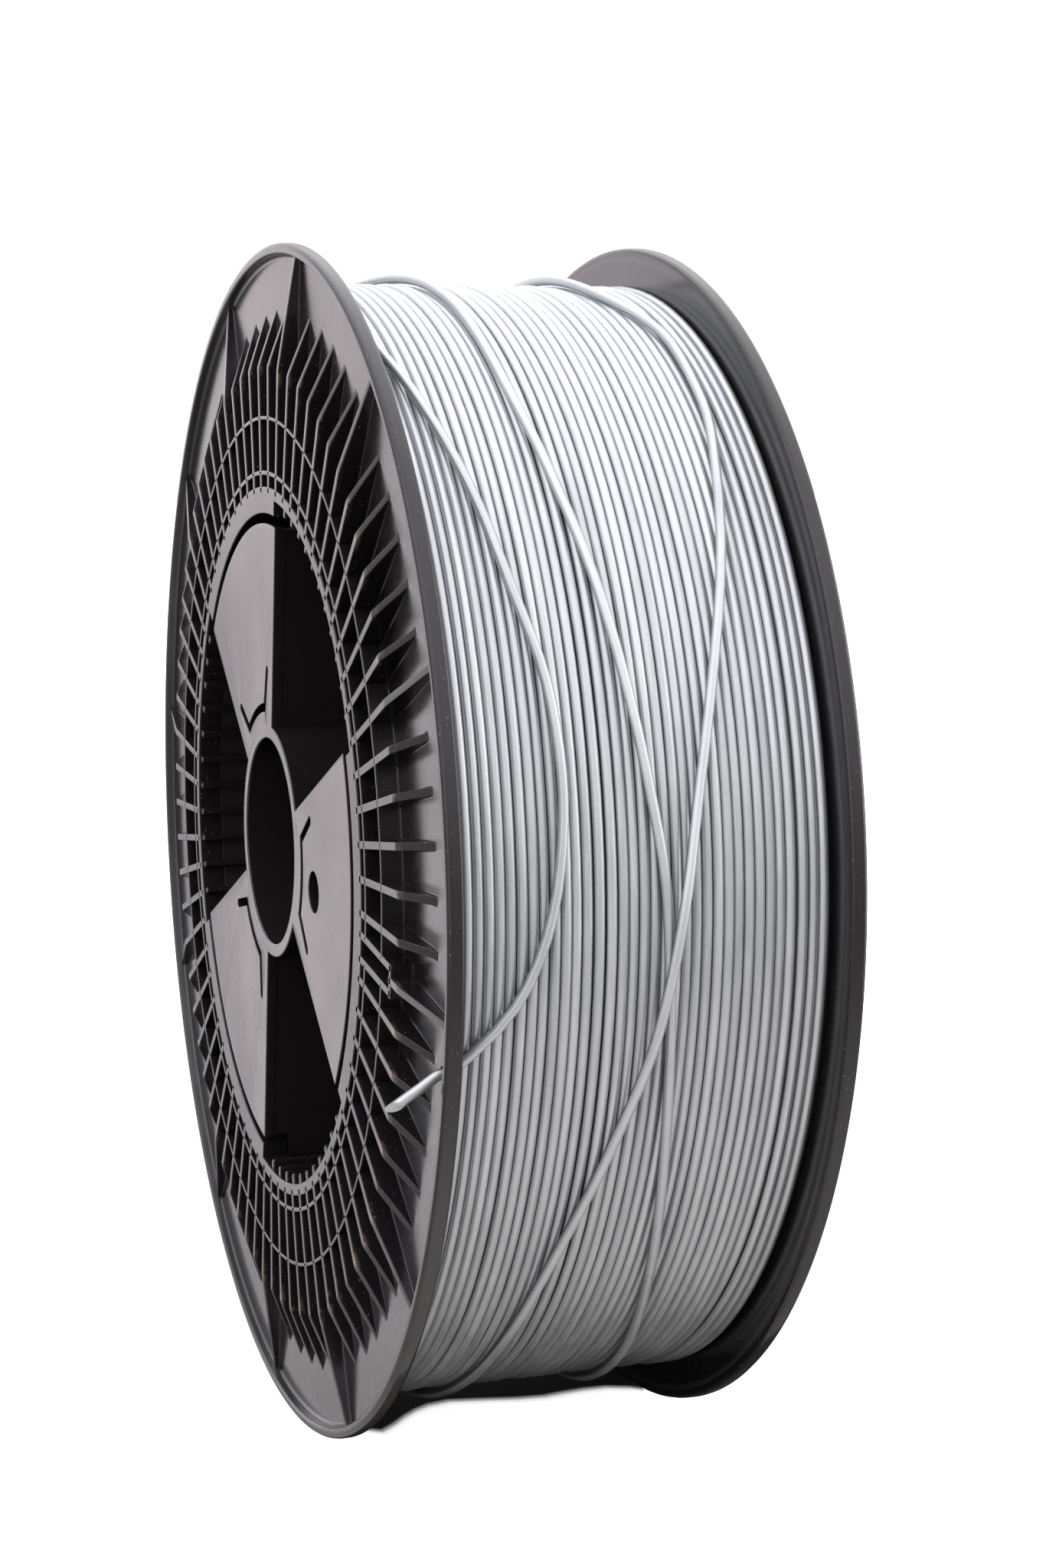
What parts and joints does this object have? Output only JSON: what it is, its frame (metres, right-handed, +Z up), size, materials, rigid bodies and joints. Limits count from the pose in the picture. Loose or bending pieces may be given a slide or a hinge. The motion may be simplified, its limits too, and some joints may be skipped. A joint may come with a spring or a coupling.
{
  "type": "filament spool",
  "caption": "Large flanged plastic spool with ribbed faces, a three-window hub and a full winding of filament whose free end is tucked through a hole in one flange.",
  "frame": {"origin": "centre of the spindle bore, half way between the two flanges", "axes": "+Y runs along the spindle from the near flange to the far flange, +Z is up as the spool stands on its rims, +X is across"},
  "size_m": [0.3, 0.1068, 0.3],
  "materials": {
    "spool_plastic": "glossy black moulding",
    "winding_core": "satin",
    "filament": "satin silver grey"
  },
  "bodies": {
    "root": {"near_flange": "spool_plastic", "far_flange": "spool_plastic", "near_drum_half": "spool_plastic", "far_drum_half": "spool_plastic", "near_hub_web": "spool_plastic", "far_hub_web": "spool_plastic", "hub_sleeve": "spool_plastic", "winding_core": "winding_core", "filament": "filament"}
  },
  "joints": []
}
